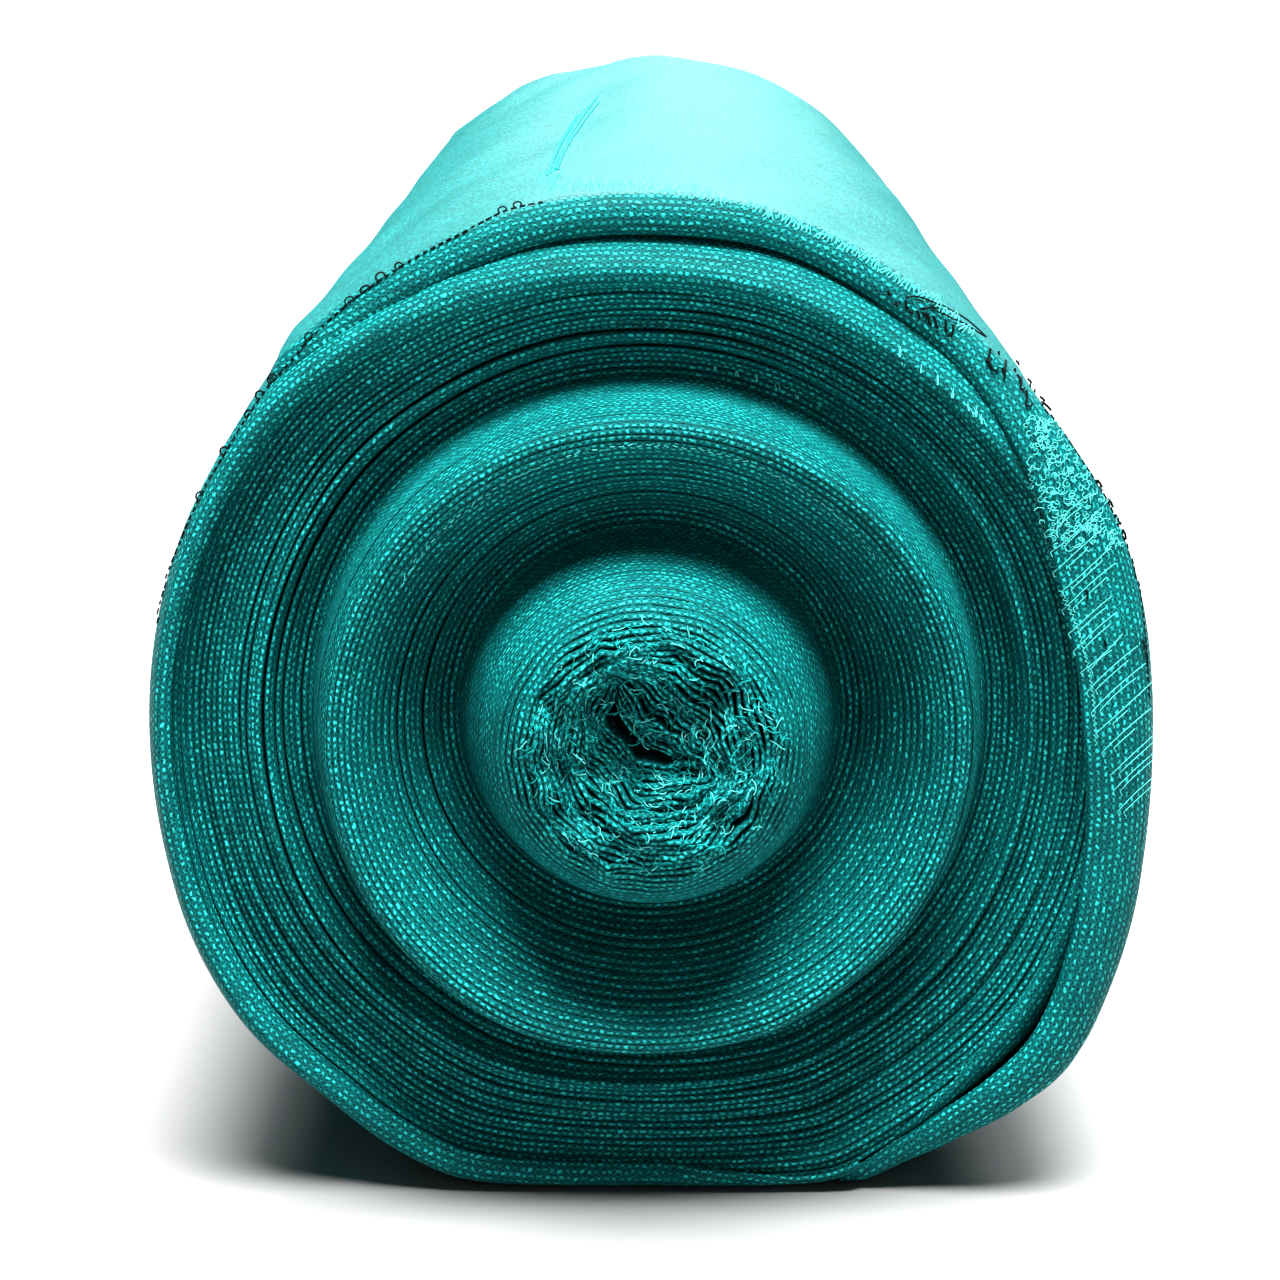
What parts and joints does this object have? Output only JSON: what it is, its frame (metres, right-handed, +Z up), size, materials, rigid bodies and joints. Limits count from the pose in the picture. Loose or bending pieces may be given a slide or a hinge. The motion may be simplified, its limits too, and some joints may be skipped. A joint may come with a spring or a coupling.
{
  "type": "roll of scaffold debris netting",
  "caption": "Roll of knitted plastic debris netting on its side, its slipped turns standing out of one end in a nub, a ring and a rim, with a slack loose end over the top.",
  "frame": {"origin": "on the floor, under the middle of the roll's box", "axes": "+Y along the roll, from the end whose turns stand out towards the end that is drawn in; +Z up"},
  "size_m": [0.27, 1.0682, 0.273],
  "materials": {
    "netting": "teal-green knitted polyethylene netting, wound tight, slightly glossy tapes",
    "loose_netting": "the same netting in two loose plies, with pale and black edge stitches"
  },
  "bodies": {
    "root": {"netting_roll": "netting", "loose_end": "loose_netting"}
  },
  "joints": []
}
